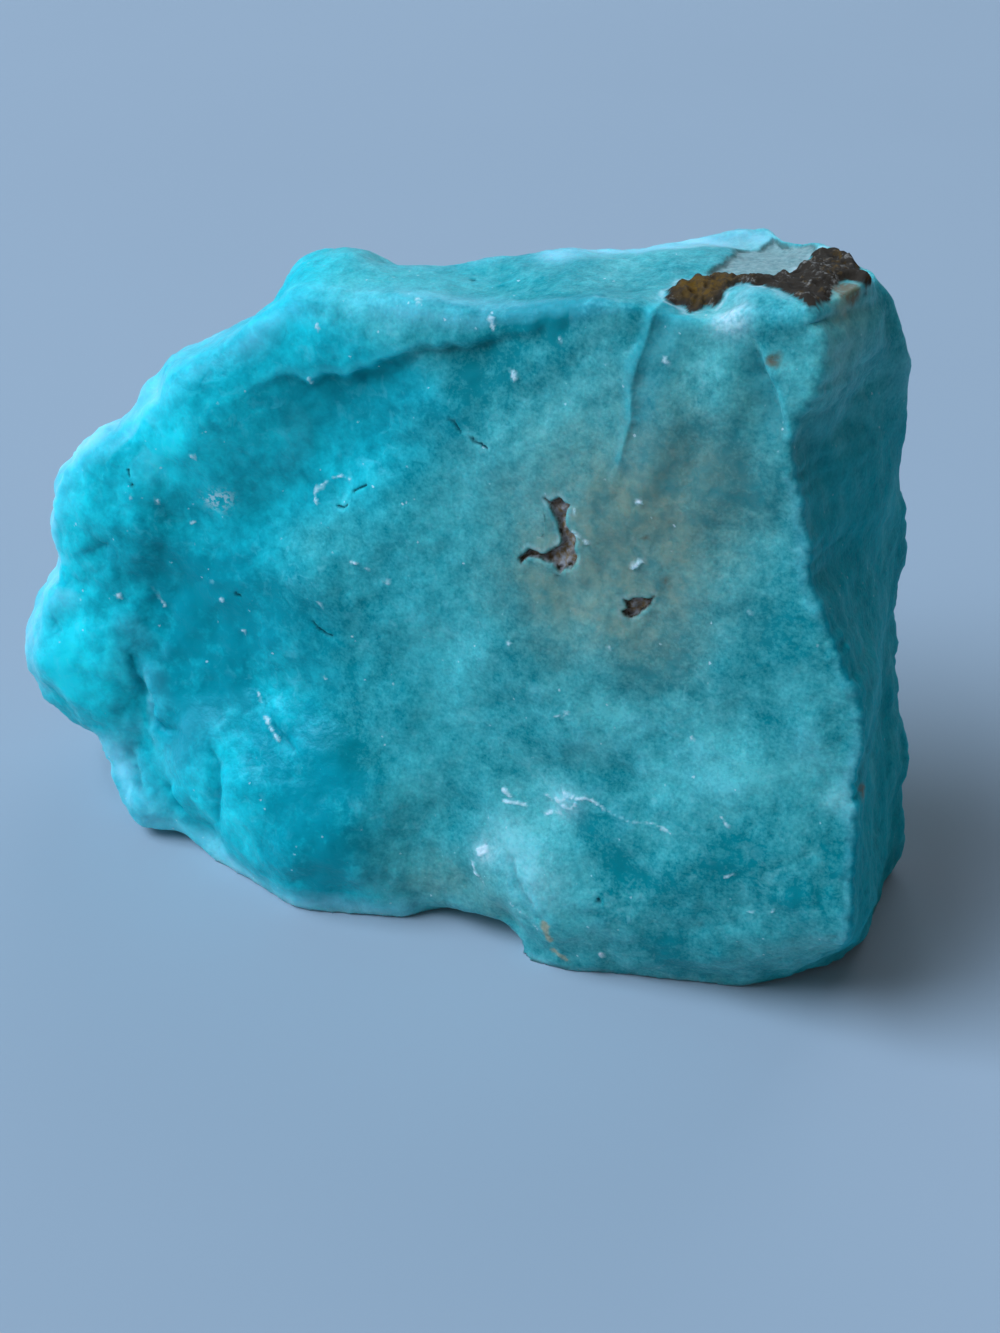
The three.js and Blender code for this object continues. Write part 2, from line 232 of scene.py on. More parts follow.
def face_relief(face):
    """How deep the front face lies behind its plane: the ledge, the band and the trough."""
    u, w, _ = face.T
    below = ledge_below(face)
    step = ramp(below, -0.25, 0.5)
    comes_back = 1 - ramp(below, 1, LEDGE_RUN)
    fades = (1 - ramp(u, 0, 9)) * ramp(u, -16, -8)
    ledge = LEDGE_DEPTH * step * comes_back * fades

    past_step = past(face, STEP_LINE)
    to_trough = -past(face, TROUGH_LINE)
    band = STEP_DEPTH * ramp(past_step, -0.08, 0.22) * ramp(w, 36, 39)
    flute = np.cos(past_step / FLUTE_WIDTH * 2 * math.pi) * ramp(past_step, 0, 1.2)
    band += FLUTE_DEPTH * flute * ramp(w, 33, 41)
    trough = TROUGH_DEPTH * (1 - ramp(to_trough, 0.2, 3.4))
    band += trough * ramp(w, 39.5, 42.5) * (1 - ramp(w, 45, 49))
    return ledge + band * ramp(to_trough, -0.35, 0.35)


def above_top(face):
    """How far each point lies above the plane of the top."""
    normal, reach = FACETS[0]
    return face @ (np.array(normal) / np.linalg.norm(normal)) - reach


def right_side(face):
    """The ruled broken side at +X: its front edge wanders, and its back edge is nearly straight."""
    u, w, t = face.T
    front = np.interp(w, *zip(*RIGHT_FRONT)) + np.interp(w, *zip(*EDGE_JOGS))
    front += 0.06 * np.sin(4.3 * w + 2 * np.sin(1.3 * w))
    back = np.interp(w, *zip(*RIGHT_BACK))
    return (u - front - (back - front) * np.minimum(t / RIGHT_DEPTH, 1)) / RIGHT_SLANT


def stone_field(points):
    """Negative inside the stone, positive outside, about in mm."""
    face = to_face(points)
    value = face_relief(face) - face[:, 2]
    crisp_brow = CRISP_BROW * ramp(face[:, 0], *CRISP_BROW_U)
    value = rounded_max(value, above_top(face), SOFT_EDGE - crisp_brow)
    for normal, reach in FACETS[1:]:
        normal = np.array(normal) / np.linalg.norm(normal)
        value = rounded_max(value, face @ normal - reach, SOFT_EDGE)
    value = rounded_max(value, right_side(face), CRISP_EDGE)
    for middle, radii in LOBES:
        value = -rounded_max(-value, -ellipsoid(face, middle, radii), MELT)
    for middle, radii in HOLLOWS:
        value = rounded_max(value, -ellipsoid(face, middle, radii), HOLLOW_EDGE)
    own = points - CENTRING
    for length, height in UNEVENNESS:
        value = value + height * ripple(*(own / length).T)
    return np.maximum(value, -points[:, 2])


def field_slope(points):
    """The stone's field at each point, and its slope there."""
    here = stone_field(points)
    ahead = [stone_field(points + np.eye(3)[axis] * PROBE) - here for axis in range(3)]
    return here, np.stack(ahead, 1) / PROBE


def relax(points, edges, share):
    """Move each point part of the way to the middle of its neighbours."""
    ends = np.concatenate([edges[:, 0], edges[:, 1]])
    others = np.concatenate([edges[:, 1], edges[:, 0]])
    count = np.maximum(np.bincount(ends, minlength=len(points)), 1)
    middles = [np.bincount(ends, points[others, axis], len(points)) / count for axis in range(3)]
    return points + share * (np.stack(middles, 1) - points)


def snap_to_field(points, passes):
    """Move points onto the stone's surface."""
    for _ in range(passes):
        value, slope = field_slope(points)
        steep = np.maximum((slope ** 2).sum(1), LEAST_STEEP)
        shift = -slope * (value / steep)[:, None]
        length = np.linalg.norm(shift, axis=1, keepdims=True)
        points = points + shift * np.minimum(1, LONGEST_MOVE / np.maximum(length, 1e-9))
    points[:, 2] = np.maximum(points[:, 2], 0)
    return points


# ---- Marks on the stone. Places are pixels of the photograph, unless a comment says otherwise ----
FORKED_PIT = [  # outline
    (544, 498), (550, 502), (557, 498), (563, 502), (569, 505), (567, 509), (565, 515), (564, 519),
    (565, 526), (569, 531), (574, 536), (575, 542), (574, 549), (577, 557), (576, 562), (571, 569),
    (564, 569), (560, 574), (556, 568), (552, 564), (545, 562), (540, 559), (533, 558), (528, 557),
    (525, 560), (521, 563), (519, 558), (524, 553), (529, 549), (535, 551), (540, 555), (545, 554),
    (551, 550), (558, 546), (561, 542), (560, 535), (558, 528), (556, 520), (554, 515), (551, 509),
    (548, 504),
]
SMALL_PIT = [  # outline
    (624, 599), (629, 601), (633, 598), (642, 598), (650, 599), (654, 596), (650, 604), (646, 609),
    (641, 612), (635, 617), (630, 619), (624, 615), (622, 611), (627, 608), (626, 604),
]
LIMONITE = [  # outline of the rusty seam
    (661, 299), (674, 289), (678, 283), (695, 279), (714, 276), (730, 278), (747, 282), (768, 283),
    (775, 279), (785, 276), (796, 270), (802, 263), (813, 259), (810, 252), (823, 249), (846, 247),
    (856, 254), (862, 262), (868, 272), (873, 283), (866, 287), (857, 283), (847, 280), (839, 285),
    (833, 293), (828, 301), (820, 308), (811, 317), (802, 311), (789, 305), (781, 300), (764, 297),
    (752, 293), (739, 290), (728, 297), (724, 307), (716, 313), (705, 311), (690, 313), (680, 307),
    (669, 302),
]
GOLDEN = (702, 293, 2.2)  # its golden part: pixel, radius
GREY_PATCH = [  # outline of the grey quartz behind the seam
    (703, 274), (714, 267), (726, 264), (728, 256), (735, 252), (738, 238), (758, 234), (774, 223),
    (795, 226), (812, 234), (818, 250), (802, 263), (796, 270), (785, 276), (775, 281), (747, 281),
    (730, 277), (709, 275),
]
# the back crest's line, along which glow is painted
CREST = [(560, 253), (610, 245), (650, 237), (690, 229), (735, 222), (765, 222)]
SWELLS = [  # pixel, radius, height
    (640, 238, 2.6, -0.55), (700, 230, 2.4, -0.8), (745, 226, 2, -0.6), (780, 230, 2.2, -1),
    (390, 251, 1.8, -0.9), (262, 300, 1.6, -1.1), (206, 838, 1.6, -0.9), (502, 926, 1.4, -0.7),
    (524, 955, 2.4, -0.6), (890, 690, 2, 0.5), (913, 362, 1.7, 0.7), (911, 424, 2.2, -0.5),
    (898, 326, 1.3, -0.55), (884, 264, 2.4, -1.1), (334, 492, 0.8, -0.3), (540, 905, 1.8, 0.3),
    (500, 870, 1.8, 0.25), (279, 714, 1.6, 0.3), (230, 800, 1.6, 0.35), (165, 430, 2, 0.2),
    (37, 596, 1.6, -0.6), (47, 702, 2.2, -0.9), (24, 645, 1.2, -0.25), (148, 388, 1.8, 0.8),
    (104, 415, 1.9, -1.1), (78, 441, 1.8, -0.8), (905, 845, 2, 0.6), (880, 925, 1.6, -0.6),
    (820, 968, 2.5, 0.6), (740, 300, 1.6, 0.8), (766, 304, 1.6, 0.7), (790, 312, 1.3, 0.5),
    (570, 800, 1.4, 0.2), (620, 815, 1.6, 0.2), (700, 760, 3, 0.25), (800, 745, 2.4, 0.25),
    (640, 880, 2.6, -0.25), (760, 880, 2.6, -0.2),
]
FOLDS = [  # width, depth, pixels
    (0.4, 0.45, [
        (122, 634), (131, 662), (141, 682), (149, 702), (151, 718), (163, 730), (184, 732),
    ]),
    (0.35, 0.3, [(58, 554), (83, 554), (103, 547), (120, 528)]),
    (0.35, 0.25, [(51, 602), (50, 619), (56, 632), (66, 656)]),
    (0.3, 0.35, [(116, 742), (133, 758), (139, 785), (150, 822)]),
    (0.3, 0.4, [(142, 762), (166, 788), (176, 808), (192, 828)]),
    (0.4, 0.5, [(206, 738), (215, 765), (217, 791), (216, 818), (222, 845)]),
    (0.3, 0.25, [(262, 694), (276, 725), (290, 745), (304, 765)]),
    (0.35, 0.3, [(498, 840), (512, 862), (520, 885), (533, 905), (549, 930)]),
]
FROST = {  # strokes of white crust, partly painted glints: their half width, and each one's pixels
    0.03: [[(601, 806), (613, 813), (630, 822), (654, 824)]],
    0.06: [
        [(720, 815), (729, 828)], [(511, 903), (526, 915), (538, 930)], [(556, 716), (566, 713)],
        [(722, 880), (732, 876)], [(750, 912), (754, 910)],
    ],
    0.07: [
        [(654, 824), (664, 829), (669, 835)], [(692, 736), (694, 739)], [(768, 915), (774, 910)],
        [(153, 590), (164, 607)], [(191, 524), (194, 522)], [(214, 580), (216, 581)],
    ],
    0.08: [
        [(473, 860), (475, 872), (483, 881)], [(563, 716), (565, 715)], [(573, 532), (591, 545)],
        [(333, 478), (342, 476), (349, 479)], [(258, 690), (262, 703)], [(157, 501), (158, 503)],
        [(242, 630), (244, 631)],
    ],
    0.09: [[(384, 581), (388, 583)]],
    0.1: [
        [(586, 798), (593, 800), (598, 804)], [(509, 642), (509, 645)], [(609, 647), (610, 649)],
        [(748, 611), (749, 613)], [(352, 562), (357, 563)], [(364, 567), (368, 569)],
        [(131, 495), (131, 499)],
    ],
    0.11: [[(317, 502), (315, 493), (319, 487), (326, 482)]],
    0.12: [
        [(505, 801), (528, 805)], [(548, 794), (553, 799)], [(575, 509), (575, 512)],
        [(417, 298), (418, 301)], [(317, 325), (318, 328)], [(309, 380), (311, 383)],
        [(560, 338), (561, 341)], [(268, 718), (273, 730), (280, 741)], [(323, 677), (325, 679)],
        [(320, 602), (321, 605)], [(221, 598), (223, 600)],
    ],
    0.13: [
        [(566, 792), (574, 796)], [(546, 814), (553, 811), (561, 813)],
        [(565, 805), (572, 808), (577, 803)],
    ],
    0.14: [
        [(503, 789), (512, 798)], [(557, 797), (561, 801), (567, 797)], [(491, 318), (493, 330)],
        [(665, 361), (668, 364)], [(119, 596), (121, 598)],
    ],
    0.16: [
        [(579, 797), (586, 798)], [(633, 568), (641, 562)], [(636, 502), (640, 502)],
        [(601, 953), (602, 956)], [(192, 455), (195, 457)],
    ],
    0.2: [[(513, 372), (515, 378)]],
    0.28: [[(480, 851), (486, 849)]],
}
DARK_MARKS = {  # fine open cracks: their half width, and each one's pixels
    0.04: [[(449, 418), (455, 424), (460, 432)]],
    0.05: [
        [(337, 506), (343, 508), (347, 505)], [(353, 491), (361, 487), (366, 485)],
        [(312, 622), (318, 629), (325, 634), (332, 636)], [(236, 593), (241, 596)],
    ],
    0.06: [[(128, 470), (129, 474)]],
    0.07: [[(131, 483), (133, 486)]],
    0.08: [[(471, 440), (479, 444), (486, 449)]],
    0.1: [[(598, 900), (599, 902)]],
    0.12: [[(473, 277), (474, 279)]],
}
CREAM = {  # strokes of cream crust: their half width, and each one's pixels
    0.1: [[(552, 953), (566, 962)]],
    0.22: [[(544, 923), (546, 933), (549, 941)]],
}
PALE_SPOTS = [  # pixel, radius, strength
    (745, 228, 1.1, 0.8), (715, 231, 1.1, 0.7), (692, 235, 1, 0.5), (737, 317, 0.9, 1),
    (722, 321, 0.8, 0.7), (750, 304, 0.8, 0.7), (484, 852, 0.9, 0.6), (566, 803, 1.2, 0.4),
    (507, 840, 2, 0.3), (536, 882, 2, 0.3), (837, 800, 0.8, 0.3),
]
SANDY_SPOTS = [(210, 499, 0.5), (218, 501, 0.7), (226, 498, 0.5)]  # pixel, radius
BROWN_SPOTS = [  # pixel, radius
    (861, 791, 0.5), (773, 361, 0.45), (850, 288, 0.9), (665, 583, 0.2), (646, 538, 0.15),
]

STAIN = [  # pixel, radius, strength
    (600, 545, 6.4, 0.95), (640, 585, 4.4, 0.6), (680, 495, 5.6, 0.36), (560, 590, 4, 0.35),
    (700, 430, 5, 0.3), (440, 890, 2.4, 0.5), (490, 905, 2.2, 0.5), (380, 880, 2, 0.3),
    (853, 290, 1.6, 1), (848, 335, 2.6, 0.35), (672, 680, 2.2, 0.3),
]
CLOUDS = [  # pixel, radius, strength: pale above 0, deep below
    (319, 434, 2.6, 0.5), (335, 553, 2.6, 0.45), (219, 532, 2.2, 0.4), (562, 828, 3, 0.5),
    (507, 838, 2.6, 0.6), (538, 895, 3.2, 0.6), (726, 770, 3, 0.5), (620, 740, 4, 0.3),
    (163, 434, 3, 0.7), (150, 410, 3, 0.6), (85, 500, 4, 0.7), (80, 600, 3.6, 0.5),
    (75, 680, 4, 0.4), (170, 800, 3.6, 0.5), (240, 820, 2.6, 0.5), (440, 740, 5, 0.3),
    (325, 285, 4.2, 0.8), (420, 330, 4, 0.45), (560, 400, 4, 0.35), (720, 350, 4, 0.5),
    (470, 470, 5, 0.3), (420, 870, 3, 0.2), (640, 690, 4, 0.2), (800, 900, 3.2, 0.3),
    (150, 560, 4.5, -0.55), (250, 600, 5, -0.5), (380, 400, 5, -0.65), (480, 385, 4.5, -0.5),
    (210, 680, 4, -0.55), (180, 740, 2.4, -0.4), (300, 760, 5, -0.55), (300, 850, 4, -0.5),
    (594, 838, 2.6, -0.55), (618, 883, 2, -0.4), (689, 903, 2.6, -0.5), (733, 868, 2.4, -0.5),
    (671, 962, 2.2, -0.5), (703, 486, 3.4, -0.5), (290, 410, 3, -0.35), (640, 665, 2.4, -0.35),
    (650, 492, 2.2, -0.4), (775, 318, 1.6, -0.6), (765, 350, 1.6, -0.5), (745, 345, 1.6, 0.3),
    (800, 900, 1.8, -0.5), (540, 310, 2.2, -0.4), (90, 690, 2.4, 0.5), (70, 660, 2.4, 0.4),
    (800, 780, 2, 0.4), (810, 700, 2.4, 0.3), (770, 910, 1.6, -0.3), (640, 930, 2, -0.3),
    (237, 762, 1.5, 0.6), (231, 812, 1.5, 0.6), (286, 709, 1.3, 0.6), (310, 785, 3, -0.4),
    (320, 850, 2.4, -0.3), (240, 580, 3, -0.2), (330, 600, 3, -0.3), (420, 390, 3, -0.2),
    (400, 385, 3, 0.3), (790, 590, 2.4, -0.3), (672, 668, 3, -0.35), (800, 770, 3, 0.5),
    (90, 690, 3.2, 0.5), (200, 480, 2.6, 0.45), (240, 580, 3, -0.3), (310, 780, 4, -0.4),
    (740, 360, 2.6, -0.4), (760, 480, 3, -0.15), (690, 485, 3.2, -0.3), (838, 338, 2.2, 0.5),
    (860, 340, 3, 0.5), (810, 370, 2, 0.5), (540, 310, 3, -0.4), (640, 400, 2, -0.2),
    (700, 930, 3, 0.3), (800, 900, 2.4, -0.4), (722, 770, 1.8, 0.4), (807, 748, 1.7, 0.5),
    (837, 800, 1, 0.5), (785, 735, 1.8, -0.5), (670, 680, 2.2, -0.6), (604, 838, 1.6, -0.4),
    (628, 890, 1.8, -0.4), (825, 850, 2, -0.4), (740, 860, 1.8, -0.5), (665, 955, 1.4, -0.5),
    (614, 708, 1.8, 0.35), (440, 640, 2.4, 0.25), (560, 640, 2.4, 0.2), (760, 560, 2.4, 0.2),
    (700, 590, 2, 0.2),
]
GREENER_FROM = [  # u at w: right of this line the stone is paler, greener and more grainy
    (0, 0.5), (2.5, -0.4), (5.6, -2.8), (11.1, -3.6), (12.6, -7), (17.9, -6.8), (22.7, -9.4),
    (27.5, -9.4), (30.8, -5.6), (33.7, -2), (35.7, -1.3), (38.5, 0), (40.5, -3), (42.5, -8),
    (45, -11),
]

# The back isn't in the photograph, and places on it are u and w
BACK_FROM = 12.0  # t
VUGS = [  # small hollows: u, w, radius
    (-3.5, 25, 1.3), (-1.6, 23.6, 0.8), (10.5, 13.5, 0.9), (15.5, 34, 0.7), (3, 37, 0.6),
]
BACK_STAINS = [  # u, w, radius, strength
    (17, 42, 5.5, 0.9), (-2.5, 24.5, 4, 0.7), (10, 14.5, 3, 0.5), (22, 36, 3, 0.5),
]


FAR = 1e3  # further than anything on the stone
SIGHT_START = 60  # from the camera
SIGHT_STEPS = 90
SIGHT_STRIDE = 0.7  # of the field
SIGHT_REACHED = 0.02


def sight(pixels):
    """Where the camera sees each pixel on the stone, or the nearest point to that line."""
    rays = np.array([pixel_ray(x, y) for x, y in pixels])
    points = EYE + rays * SIGHT_START
    nearest = points.copy()
    least = np.full(len(points), FAR)
    for _ in range(SIGHT_STEPS):
        value = stone_field(points)
        better = value < least
        nearest[better] = points[better]
        least[better] = value[better]
        points = points + rays * np.where(value < SIGHT_REACHED, 0, value * SIGHT_STRIDE)[:, None]
    return dict(zip(pixels, snap_to_field(nearest, 4)))


def all_pixels():
    """Every pixel of the photograph that a mark is placed by."""
    spots = BROWN_SPOTS + SANDY_SPOTS + PALE_SPOTS + STAIN + CLOUDS + SWELLS + [GOLDEN]
    lines = [GREY_PATCH, LIMONITE, CREST, FORKED_PIT, SMALL_PIT] + [line for _, _, line in FOLDS]
    for strokes in (FROST, CREAM, DARK_MARKS):
        lines += sum(strokes.values(), [])
    return sorted({spot[:2] for spot in spots} | set(sum(lines, [])))


SEEN = sight(all_pixels())


def on_stone(pixels):
    """The points of the stone that the camera sees at these pixels."""
    return np.array([SEEN[pixel] for pixel in pixels])


def rod_distance(points, places, radii):
    """How far each point lies outside a string of rounded rods."""
    nearest = np.full(len(points), FAR)
    for a, b, ra, rb in zip(places[:-1], places[1:], radii[:-1], radii[1:]):
        along = b - a
        share = np.clip((points - a) @ along / max(along @ along, 1e-9), 0, 1)
        gap = np.linalg.norm(points - a - share[:, None] * along, axis=1) - ra - (rb - ra) * share
        nearest = np.minimum(nearest, gap)
    return nearest


def fold_distance(points, places):
    """How far each point lies from a fold, which dies out at both ends."""
    radii = np.zeros(len(places))
    radii[[0, -1]] = -FOLD_FADE
    return rod_distance(points, places, radii)


def outline_distance(flat, outline):
    """Signed distance of flat points from a closed outline, negative inside."""
    outline = np.asarray(outline, float)
    nearest = np.full(len(flat), FAR)
    inside = np.zeros(len(flat), bool)
    for a, b in zip(outline, np.roll(outline, -1, 0)):
        along = b - a
        share = np.clip((flat - a) @ along / (along @ along), 0, 1)
        nearest = np.minimum(nearest, np.linalg.norm(flat - a - share[:, None] * along, axis=1))
        rises = (a[1] > flat[:, 1]) != (b[1] > flat[:, 1])
        crossing = a[0] + (flat[:, 1] - a[1]) / (along[1] if along[1] else 1e-9) * along[0]
        inside ^= rises & (flat[:, 0] < crossing)
    return np.where(inside, -nearest, nearest)


NOISE = {  # kinds of unevenness: how far it swings, its largest length, octaves, seed
    "pit_edge_u": (0.05, 0.5, 2, 3),
    "pit_edge_w": (0.05, 0.5, 2, 4),
    "vug_edge": (0.5, 1.4, 3, 18),
    "rust_edge": (0.3, 1.2, 3, 5),
    "grey_edge": (0.3, 1.5, 2, 6),
    "frost_edge": (0.14, 0.4, 2, 7),
    "crack_edge": (0.05, 0.5, 2, 8),
    "cream_edge": (0.12, 0.6, 2, 17),
    "brown_edge": (0.3, 0.7, 3, 23),
    "fold_edge": (0.15, 1.2, 3, 14),
    "swells": (0.16, 2.6, 3, 1),
    "grain": (1.0, 0.9, 2, 2),
    "fracture_streaks": (0.08, 0.9, 3, 9),
    "fracture_ribs": (0.16, 4.0, 2, 21),
    "fracture_bumps": (1.0, 1.4, 2, 24),
    "back_bumps": (0.18, 1.8, 4, 10),
    "back_creases": (0.7, 6.5, 3, 19),
    "lobe_creases": (1.0, 4.2, 2, 15),
    "dome_wander": (0.4, 3.0, 2, 25),
    "foot_bumps": (1.0, 1.9, 3, 16),
    "pit_floor": (0.5, 0.8, 3, 11),
    "crumbs": (2.2, 1.5, 3, 12),
    "frost_crumbs": (0.12, 0.35, 2, 13),
    "drift_x": (1.0, 5.0, 3, 20),
    "drift_y": (1.0, 5.0, 3, 21),
    "drift_z": (1.0, 5.0, 3, 22),
    "lobe_glow": (0.8, 3.4, 3, 26),
    "right_streaks": (0.25, 1.3, 4, 30),
    "crest_streaks": (0.5, 1.4, 4, 31),
    "back_stain": (0.6, 2.4, 3, 22),
}
SEED_STEP = Vector((17.3, 9.1, 5.7))
DIMENSION, LACUNARITY = 1.0, 2.0
FRACTURE_GRAIN = np.array([1, 1, 0.2])  # makes noise run in streaks
RIGHT_GRAIN = np.array([1, 1, 0.16])
CREST_GRAIN = np.array([0.3, 1, 1])


def fractal(points, kind):
    """Smooth noise of one of these kinds, either side of 0."""
    swing, length, octaves, seed = NOISE[kind]
    shift = SEED_STEP * seed
    places = [Vector(point) / length + shift for point in points]
    values = [noise.fractal(place, DIMENSION, LACUNARITY, octaves) for place in places]
    return swing * np.array(values)


def domes(points, spacing):
    """Grape-like bumps: 0 at the middle of each dome, rising towards the creases between them."""
    return np.array([noise.voronoi(Vector(p) / spacing)[0][0] for p in points]) ** 2


def strokes_distance(points, strokes):
    """How far each point lies outside some strokes."""
    nearest = np.full(len(points), FAR)
    for half_width, lines in strokes.items():
        for pixels in lines:
            radii = [half_width] * len(pixels)
            nearest = np.minimum(nearest, rod_distance(points, on_stone(pixels), radii))
    return nearest


def blobs(points, spots):
    """The sum of soft round spots."""
    total = np.zeros(len(points))
    places = on_stone([spot[:2] for spot in spots])
    for place, (_, _, radius, strength) in zip(places, spots):
        gap = np.linalg.norm(points - place, axis=1)
        total += strength * np.exp(-(gap / radius) ** 2)
    return total


FOLD_FADE = 0.6
NO_MARK = 9.0
FRONT_T = 3.0  # less deep than this is the front
PIT_T = 4.0
TOP_FROM = 36.0  # z
TOP_SKIN = 1.5  # how far below the top's plane its marks reach
VUG_SQUAT = 1.3
FROST_THIN = 0.06
FOLD_SHARP = 1.3


class Marks:
    """How far each point lies from each kind of mark: negative inside."""

    def __init__(self, points):
        noisy = partial(fractal, points)
        self.face = to_face(points)
        self.pit = self.pit_distance(noisy)
        too_low = 0.8 * np.maximum(-above_top(self.face) - TOP_SKIN, 0)
        too_low = np.where(points[:, 2] > TOP_FROM, too_low, NO_MARK)
        outlines = [on_stone(outline)[:, :2] for outline in (LIMONITE, GREY_PATCH)]
        rust, grey = [outline_distance(points[:, :2], outline) for outline in outlines]
        self.rust = rust + too_low + noisy("rust_edge")
        self.grey = grey + too_low + noisy("grey_edge")
        self.crest = strokes_distance(points, {0.0: [CREST]})
        self.frost = strokes_distance(points, FROST) + FROST_THIN + noisy("frost_edge")
        self.dark = strokes_distance(points, DARK_MARKS) + noisy("crack_edge")
        self.cream = strokes_distance(points, CREAM) + noisy("cream_edge")
        spots = zip(on_stone([spot[:2] for spot in BROWN_SPOTS]), BROWN_SPOTS)
        gaps = [np.linalg.norm(points - place, axis=1) - radius for place, (_, _, radius) in spots]
        self.brown = np.min(gaps, 0) + noisy("brown_edge")
        wander = noisy("fold_edge")
        widths, depths, lines = zip(*FOLDS)
        gaps = [fold_distance(points, on_stone(line)) + wander for line in lines]
        gaps = [gap / width for gap, width in zip(gaps, widths)]
        self.near_fold = np.min(gaps, 0)
        valleys = [np.exp(-np.abs(gap) ** FOLD_SHARP) for gap in gaps]
        self.fold = sum(depth * valley for depth, valley in zip(depths, valleys))

    def named(self, layer):
        return getattr(self, layer.split("_")[0])

    def pit_distance(self, noisy):
        """Distance from the front's pits and the back's small hollows."""
        ragged = np.stack([noisy("pit_edge_u"), noisy("pit_edge_w")], 1)
        flat = self.face[:, :2] + ragged
        u, w = flat.T
        outlines = [to_face(on_stone(pit))[:, :2] for pit in (FORKED_PIT, SMALL_PIT)]
        pits = [outline_distance(flat, outline) for outline in outlines]
        vugs = [np.hypot(u - across, VUG_SQUAT * (w - up)) - radius for across, up, radius in VUGS]
        vug = np.min(vugs, 0) + noisy("vug_edge")
        depth = self.face[:, 2]
        return np.select([depth < PIT_T, depth > BACK_FROM], [np.minimum(*pits), vug], NO_MARK)


# ---- The stone's mesh ----
VOXEL = 0.40
EVEN_SHARE = 0.5
FINE_CUTS = 2
FINE_NEAR = {"pit": 0.5, "rust": 0.5, "cream": 0.4, "frost": 0.35, "dark": 0.35, "near_fold": 1.2}
FINE_NEAR_GREY = 0.5
BASE_FADE = 0.8  # z below which the surface moves less, so that the stone stands flat

RIGHT_FACE_U = (24, 29)
BACK_FACE_T = (14, 18)
LOBES_U = (-26, -12)
DOMES_LEFT_OF = (13, 22)  # -u
FOOT_Z = (3, 12)
GRAIN_HEIGHT, LOBE_GRAIN = 0.08, 0.05
FRACTURE_OUT, FRACTURE_BUMPS = 0.05, 0.12
BACK_OUT = 0.2
CREASES, CREASE_POWER, CREASE_OUT = 0.3, 0.8, 0.3
DOMES, DOME_SPACING, DOME_OUT = 0.5, 2.6, 0.3
FOOT_BUMPS = 0.16
PIT_DEPTH, PIT_EVEN, PIT_LIP = 0.6, 0.8, 0.03
CRUST_HEIGHT, CRUMB_HEIGHT = 0.25, 0.35
GREY_DEPTH = 0.25
FROST_HEIGHT = 0.10
CRACK_DEPTH = 0.22

STEP_STRENGTH = 1.2  # strength of the step's painted highlight and shade, beside the ledge's
THIN_LEFT, THIN_RIGHT = 3.0, 0.8  # how thick the stone may be and still get painted glow
# lobes facing this way get painted glow
GLOW_FACING = np.array([-0.85, 0.1, 0.3])
CREST_WIDTH = 1.5
DRIFT = 1.1  # of clouds and stains
# Layers that follow a mark, which is the first word of their names
MARK_LAYERS = {  # how far inside the mark's edge the layer starts and is full
    "rust": (-0.06, 0.1),
    "rust_deep": (0.15, 0.5),
    "grey": (-0.05, 0.08),
    "cream": (-0.1, 0.08),
    "frost": (-0.1, 0.06),
    "pit": (-0.04, 0.07),
    "dark": (-0.07, 0.05),
    "brown": (-0.15, 0.15),
}
RIM_LAYERS = {  # how far outside the mark's edge the rim lies, and its width
    "rust_rim": (0.2, 0.2),
    "grey_rim": (0.0, 0.14),
    "pit_edge": (-0.05, 0.11),
    "pit_rim": (0.2, 0.14),
}


def remeshed(node):
    """An even closed mesh of a node's solid: points in mm, and faces."""
    mesh = node.data.copy()
    mesh.vertices.foreach_set("co", (read_points(mesh) / MM).ravel())
    probe = add_object("probe", mesh)
    modifier = probe.modifiers.new("remesh", "REMESH")
    modifier.mode = "VOXEL"
    modifier.voxel_size = VOXEL
    evaluated = probe.evaluated_get(bpy.context.evaluated_depsgraph_get())
    even = bpy.data.meshes.new_from_object(evaluated)
    bpy.data.objects.remove(probe)
    return even


def read_points(mesh):
    points = np.empty(len(mesh.vertices) * 3)
    mesh.vertices.foreach_get("co", points)
    return points.reshape(-1, 3)


def read_edges(mesh):
    edges = np.empty(len(mesh.edges) * 2, np.int64)
    mesh.edges.foreach_get("vertices", edges)
    return edges.reshape(-1, 2)


def write_points(mesh, points):
    mesh.vertices.foreach_set("co", points.ravel())
    mesh.update()


def refine(mesh, wanted, cuts):
    """Cut the edges among the wanted points, so that fine marks have fine faces."""
    bm = bmesh.new()
    bm.from_mesh(mesh)
    edges = [e for e in bm.edges if wanted[e.verts[0].index] and wanted[e.verts[1].index]]
    bmesh.ops.subdivide_edges(bm, edges=edges, cuts=cuts, use_grid_fill=True)
    bmesh.ops.triangulate(bm, faces=[f for f in bm.faces if len(f.verts) > 4])
    bm.to_mesh(mesh)
    bm.free()


